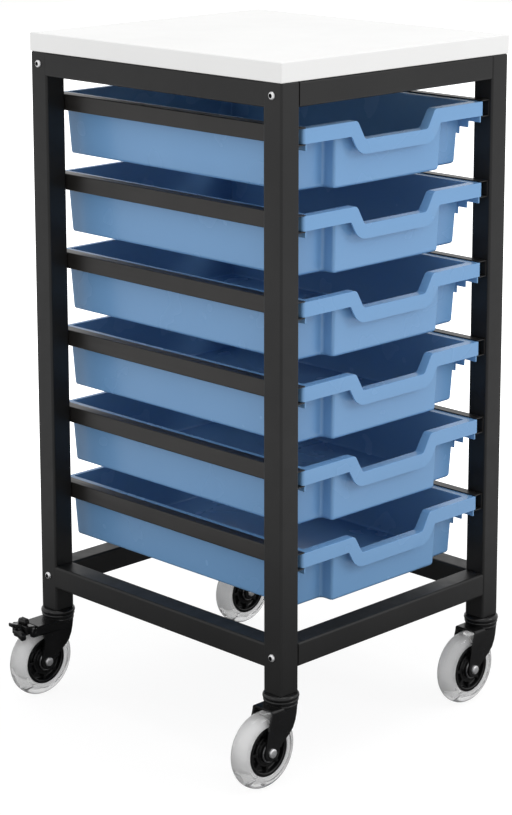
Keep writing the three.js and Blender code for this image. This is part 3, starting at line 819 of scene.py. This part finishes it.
def make_fork(braked):
    """A pressed fork, measured from the post's foot: a top plate and two legs that sweep back to the axle."""
    half = 16.5 * MM
    top = -11.5
    plate_front = -44.5 if braked else -30
    legs = [((-30, -16), (10.6, -16)), ((-32.3, -24), (9.6, -24)), ((-35, -32), (7.6, -32)), ((-36.8, -40), (3.9, -40)),
            ((-38, -46), (-2, -46)), ((-39.3, -52), (-10, -52)), ((-40.2, -57), (-17, -57)), ((-40.5, -61.5), (-20.5, -61.5))]
    if braked:
        legs = [((-54, -13), (10.9, -13)), ((-57, -15), (10.8, -15)), ((-58.4, -18), (10.5, -18)),
                ((-57.6, -21.5), (10, -21)), ((-54, -23.4), (9.8, -22.5)), ((-38, -22.6), (9.6, -24))] + legs[2:]
    for step in range(1, 8):
        angle = math.radians(90 * step / 8)
        across, drop = 10 * math.cos(angle), 10 * math.sin(angle)
        legs.append(((-30.5 - across, -61.5 - drop), (-30.5 + across, -61.5 - drop)))
    fork = add_plate("fork", (plate_front * MM, -half), (11 * MM, half), top * MM)
    with editing(fork):
        for way in (-1, 1):
            start = [Vector((plate_front * MM, way * half, top * MM)), Vector((11 * MM, way * half, top * MM))]
            rows = [(Vector((a[0] * MM, way * half, a[1] * MM)), Vector((b[0] * MM, way * half, b[1] * MM)))
                    for a, b in legs]
            draw_leg(fork, start, rows)
        round_edges(fork, FORK_FOLD, 4, lambda edge: edge.calc_face_angle(0) > 1.2)
        bpy.ops.mesh.select_all(action="SELECT")
        bpy.ops.mesh.normals_make_consistent(inside=False)
        mesh = bmesh.from_edit_mesh(fork.data)
        upside_down = max(mesh.faces, key=lambda face: face.calc_area() * (abs(face.normal.z) > 0.9)).normal.z < 0
        if upside_down:
            bpy.ops.mesh.flip_normals()
    thicken(fork, FORK_SHEET)
    ease(fork, 0.5 * MM, 2, 55)
    bell = [(12, -11.3), (19.2, -11.3), (19.7, -12), (19.8, -13.4), (19.4, -14.8), (18.4, -15.7), (17, -16), (12, -16)]
    neck = turn("neck", [(r * MM, z * MM) for r, z in bell], (0, 0, 0), "z", 64, closed=True)
    fork = join([fork, neck], "fork")
    smooth(fork, 40)
    return fork


def make_axle():
    """A rivet with a domed head at each end, across the wheel's middle."""
    seat, rise = 16.5, 3
    head = [(4, seat), (AXLE_HEAD / MM, seat), (AXLE_HEAD / MM, seat + 1.6), (5.2, seat + 2.2), (4.6, seat + 2.6),
            (3.6, seat + 2.8), (2.1, seat + rise - 0.1), (0.4, seat + rise)]
    outline = [(r * MM, -y * MM) for r, y in reversed(head)] + [(r * MM, y * MM) for r, y in head]
    axle = turn("axle", outline, (0, 0, 0), "y", 36)
    smooth(axle, 40)
    return axle


def make_hub():
    """The wheel's centre: boss, dished web with ribs, and a rim inside the tyre."""
    half = [(4.3, -13.6), (10.9, -13.6), (11.6, -13.3), (12, -12.6), (12.4, -9.4), (12.9, -8.8), (14.4, -8.7), (14.7, -8.1),
            (15.4, -8.1), (15.7, -8.7), (17.6, -8.6), (18.3, -8), (18.8, -5), (19.6, -4.4), (23.4, -4.4), (24.4, -5.2),
            (25.2, -9.8), (25.8, -10.7), (26.6, -11), (28.6, -11), (29.4, -10.7), (29.7, -10)]
    outline = [(r * MM, y * MM) for r, y in half] + [(r * MM, -y * MM) for r, y in reversed(half)]
    hub = turn("hub", outline, (0, 0, 0), "y", 72, closed=True)
    ribs = []
    for way in (-1, 1):
        span = sorted((way * 4 * MM, way * 8.5 * MM))
        rib = add_block("rib", (17.8 * MM, span[0], -2 * MM), (25.3 * MM, span[1], 2 * MM))
        with editing(rib):
            round_edges(rib, 0.7 * MM, 2, lambda edge: along(edge, 0) and middle(edge).y * way > 8 * MM)
            bpy.ops.mesh.select_all(action="SELECT")
            bpy.ops.mesh.spin(steps=HUB_RIBS, dupli=True, angle=2 * math.pi, center=(0, 0, 0), axis=(0, 1, 0))
            bpy.ops.mesh.select_all(action="SELECT")
            bpy.ops.mesh.remove_doubles(threshold=0.01 * MM)
        ribs.append(rib)
    hub = join([hub, *ribs], "hub")
    smooth(hub, 40)
    return hub


def make_bearing():
    """The bright race that shows round the hub's boss, on both sides."""
    races = []
    for way in (-1, 1):
        outline = [(10.6, 13.2), (10.6, 13.7), (10.8, 13.85), (11.6, 13.85), (11.9, 13.7), (12.1, 13.3), (12.1, 12.4), (11.3, 12.2)]
        races.append(turn("race", [(r * MM, way * y * MM) for r, y in outline], (0, 0, 0), "y", 56, closed=True))
    bearing = join(races, "bearing")
    smooth(bearing, 40)
    return bearing


def make_tyre():
    """A soft tyre with a round crown and a shallow ring groove in each side."""
    side = [(30, -10.6), (30.6, -11.1), (34.2, -11.5), (34.5, -10.5), (35.2, -10.5), (35.5, -11.2)]
    crown = [(x / MM, y / MM) for y, x in ((p[0], p[1]) for p in arc((0, TYRE_SHOULDER), 12 * MM, 170, 90, 14))]
    half = side + crown
    outline = [(r * MM, y * MM) for r, y in half] + [(r * MM, -y * MM) for r, y in reversed(half[:-1])]
    tyre = turn("tyre", outline, (0, 0, 0), "y", 96, closed=True)
    smooth(tyre, 50)
    return tyre


def line_tyre(tyre, axle):
    """Gives the bore, where the clear tyre is moulded on its core, a white face."""
    tyre.data.materials.append(tyre_white)
    for face in tyre.data.polygons:
        if Vector((face.center.x - axle.x, face.center.z - axle.z)).length < TYRE_BORE + 0.2 * MM:
            face.material_index = 1


def rounded_block(name, low, high, radius, shape=None):
    """A block in millimetres with its edges rounded, after a shaping step of its own."""
    block = add_block(name, Vector(low) * MM, Vector(high) * MM)
    with editing(block):
        if shape:
            shape(block)
        round_edges(block, radius * MM, 3, lambda edge: edge.calc_face_angle(0) > 0.6)
    return block


def slope_arm(arm):
    """Draws the arm's inner end in, from above to go under the fork and from below to clear the tyre."""
    pick(arm, "VERT", lambda corner: corner.co.x > -50 * MM and corner.co.z > 0)
    push((0, 0, -3.5 * MM))
    pick(arm, "VERT", lambda corner: corner.co.x > -50 * MM and corner.co.z < -5 * MM)
    push((0, 0, 3.2 * MM))


def taper_tongue(tongue):
    """Draws the tongue's tip in and up to a blunt point."""
    pick(tongue, "VERT", lambda corner: corner.co.x < -75 * MM)
    stretch((1, 0.6, 0.6), (-78 * MM, 0, 0.5 * MM))
    push((0, 0, 7 * MM))


def droop_foot(foot):
    """Lets the outer end of the foot plate hang lower than the end at the arm."""
    cut(foot, (0, -7 * MM, 0), (0, 1, 0))
    pick(foot, "VERT", lambda corner: corner.co.y > -8 * MM)
    push((0, 0, 4 * MM))


def make_pedal():
    """A brake pedal, measured from the fork's top over the post's middle: arm, pin, tab, foot plate and tongue."""
    blocks = [
        rounded_block("pedal_arm", (-64, -13.4, -8.5), (-46.5, 13.4, 4.2), 1.6, slope_arm),
        rounded_block("pedal_tab", (-61, -7, 2.5), (-52, 7, 9.4), 2.2),
        rounded_block("pedal_bridge", (-70, -7, -8), (-58, 7, 2.2), 1.5),
        rounded_block("pedal_foot", (-73.5, -16, -13), (-64.5, 1, -4), 2.4, droop_foot),
        rounded_block("pedal_tongue", (-78, -6.5, -4), (-63, 6.5, 4), 1.4, taper_tongue),
    ]
    for reach in (-59, -56.5, -54):
        blocks.append(rounded_block("pedal_rib", (reach - 0.7, -5.8, 8.4), (reach + 0.7, 5.8, 10.4), 0.5))
    pin = [(1.6, 17.4), (2.4, 17.4), (2.8, 18), (3.8, 18), (4.4, 17.4), (4.5, 16.7)]
    outline = [(r * MM, -y * MM) for r, y in pin] + [(r * MM, y * MM) for r, y in reversed(pin)]
    blocks.append(turn("pedal_pin", outline, (-53 * MM, 0, -4 * MM), "y", 32))
    pedal = join(blocks, "pedal")
    smooth(pedal, 40)
    return pedal


def make_castors():
    collar, axle, hub, tyre, pedal = make_collar(), make_axle(), make_hub(), make_tyre(), make_pedal()
    bearing = make_bearing()
    forks = {False: make_fork(False), True: make_fork(True)}
    for end in ENDS:
        for side in SIDES:
            corner = f"{end}_{side}"
            frame_low, frame_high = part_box(f"side_frame_{side}")
            width = frame_high.x - frame_low.x
            post = Vector(((frame_low.x + frame_high.x) / 2, 0, frame_low.z))
            post.y = frame_low.y + width / 2 if end == "front" else frame_high.y - width / 2
            wheel_low, wheel_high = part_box(f"wheel_tyre_{corner}")
            wheel = (wheel_low + wheel_high) / 2
            braked = end == "rear"
            made = [
                (collar, "collar", post, castor_black, "frame", "castor_black", f"castor_socket_{corner}"),
                (forks[braked], "fork", post, castor_black, f"castor_{corner}", "castor_black", f"castor_fork_{corner}"),
                (axle, "rivet", wheel, steel, f"castor_{corner}", "steel", f"castor_axle_{corner}"),
                (hub, "hub", wheel, castor_black, f"wheel_{corner}", "castor_black", f"wheel_hub_{corner}"),
                (tyre, "tyre", wheel, tyre_grey, f"wheel_{corner}", "tyre_grey", f"wheel_tyre_{corner}"),
            ]
            if braked:
                fork_top = Vector((post.x, post.y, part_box(f"castor_fork_{corner}")[1].z))
                made.append((pedal, "pedal", fork_top, castor_black, f"pedal_{corner}", "castor_black", f"brake_pedal_{corner}"))
            for shape, name, place, finish, body, slot, node in made:
                piece = copy_of(shape, f"{name}_{corner}", place)
                hand_over(piece, finish, body, slot, node)
                if name == "tyre":
                    line_tyre(piece, wheel)
            hand_over(copy_of(bearing, f"bearing_{corner}", wheel), dull_steel, f"wheel_{corner}", "steel")
    for shape in (collar, axle, hub, bearing, tyre, pedal, *forks.values()):
        remove(shape)


# Floor, light and camera

def make_floor():
    deselect_all()
    bpy.ops.mesh.primitive_plane_add(size=14, location=(MIDDLE, 0, 0))
    floor = settle("studio_floor")
    # The floor's colour paints shade round the unit: dark grey within half a metre of the middle, pale from a metre
    # out, so it bounces less light up onto the unit and shows darker in its lower glossy faces.
    finish = Finish("pale_floor_painted_shade")
    away = finish.nodes.new("ShaderNodeVectorMath")
    away.operation = "LENGTH"
    finish.links.new(finish.place, away.inputs[0])
    finish.colour(away.outputs["Value"], (0.16, 0.16, 0.16), (0.9, 0.9, 0.9), 0.5, 1.0)
    finish.roughness(finish.noise(2, 2), 0.8, 0.9)
    finish.set(specular_ior_level=0.0, emission_color=(1, 1, 1, 1))
    # The floor glows white for camera rays, and at half strength for rays that pass through the tyres, which paints
    # extra light into the clear tyres.
    ray = finish.nodes.new("ShaderNodeLightPath")
    glow = finish.nodes.new("ShaderNodeMath")
    glow.operation = "MULTIPLY"
    glow.inputs[1].default_value = FLOOR_GLOW
    through = finish.nodes.new("ShaderNodeMath")
    through.operation = "MULTIPLY_ADD"
    through.inputs[1].default_value = FLOOR_THROUGH_TYRE
    finish.links.new(ray.outputs["Is Transmission Ray"], through.inputs[0])
    finish.links.new(ray.outputs["Is Camera Ray"], through.inputs[2])
    finish.links.new(through.outputs["Value"], glow.inputs[0])
    finish.links.new(glow.outputs["Value"], finish.shader.inputs["Emission Strength"])
    floor.data.materials.append(finish.material)


def add_light(name, place, aim, size, power):
    light = bpy.data.lights.new(name, "AREA")
    light.shape = "DISK"
    light.size = size
    light.energy = power
    lamp = bpy.data.objects.new(name, light)
    bpy.context.scene.collection.objects.link(lamp)
    lamp.location = place
    lamp.rotation_euler = (Vector(aim) - Vector(place)).to_track_quat("-Z", "Y").to_euler()


def make_studio():
    scene = bpy.context.scene
    scene.view_settings.view_transform = "Standard"
    world = bpy.data.worlds.new("white_studio")
    world.use_nodes = True
    nodes, links = world.node_tree.nodes, world.node_tree.links
    fill = nodes["Background"]
    fill.inputs["Color"].default_value = (1, 1, 1, 1)
    fill.inputs["Strength"].default_value = FILL_LIGHT
    backdrop = nodes.new("ShaderNodeBackground")
    backdrop.inputs["Color"].default_value = (1, 1, 1, 1)
    backdrop.inputs["Strength"].default_value = 1.0
    ray = nodes.new("ShaderNodeLightPath")
    either = nodes.new("ShaderNodeMixShader")
    links.new(ray.outputs["Is Camera Ray"], either.inputs["Fac"])
    links.new(fill.outputs["Background"], either.inputs[1])
    links.new(backdrop.outputs["Background"], either.inputs[2])
    links.new(either.outputs["Shader"], nodes["World Output"].inputs["Surface"])
    scene.world = world
    aim = (MIDDLE, 0, 0.45)
    add_light("soft_front", (1.5, -2.6, 1.8), aim, 0.9, FRONT_LIGHT)
    add_light("soft_left", (-2.8, 0.2, 1.5), aim, 0.7, LEFT_LIGHT)
    add_light("soft_top", (0.1, -0.4, 3.4), aim, 1.6, TOP_LIGHT)


def make_camera():
    camera = bpy.data.objects.new("camera", bpy.data.cameras.new("camera"))
    bpy.context.scene.collection.objects.link(camera)
    camera.location = CAMERA_PLACE
    camera.rotation_euler = (math.radians(90 - CAMERA_DIP), 0, math.radians(-CAMERA_TURN))
    camera.data.sensor_width = 36
    camera.data.lens = CAMERA_LENS
    camera.data.shift_x, camera.data.shift_y = CAMERA_SHIFT
    bpy.context.scene.camera = camera


make_board()
for one_side in SIDES:
    make_side_frame(one_side)
make_cross_beams()
make_screws()
make_runners()
make_trays()
make_castors()
make_floor()
make_studio()
make_camera()
deselect_all()
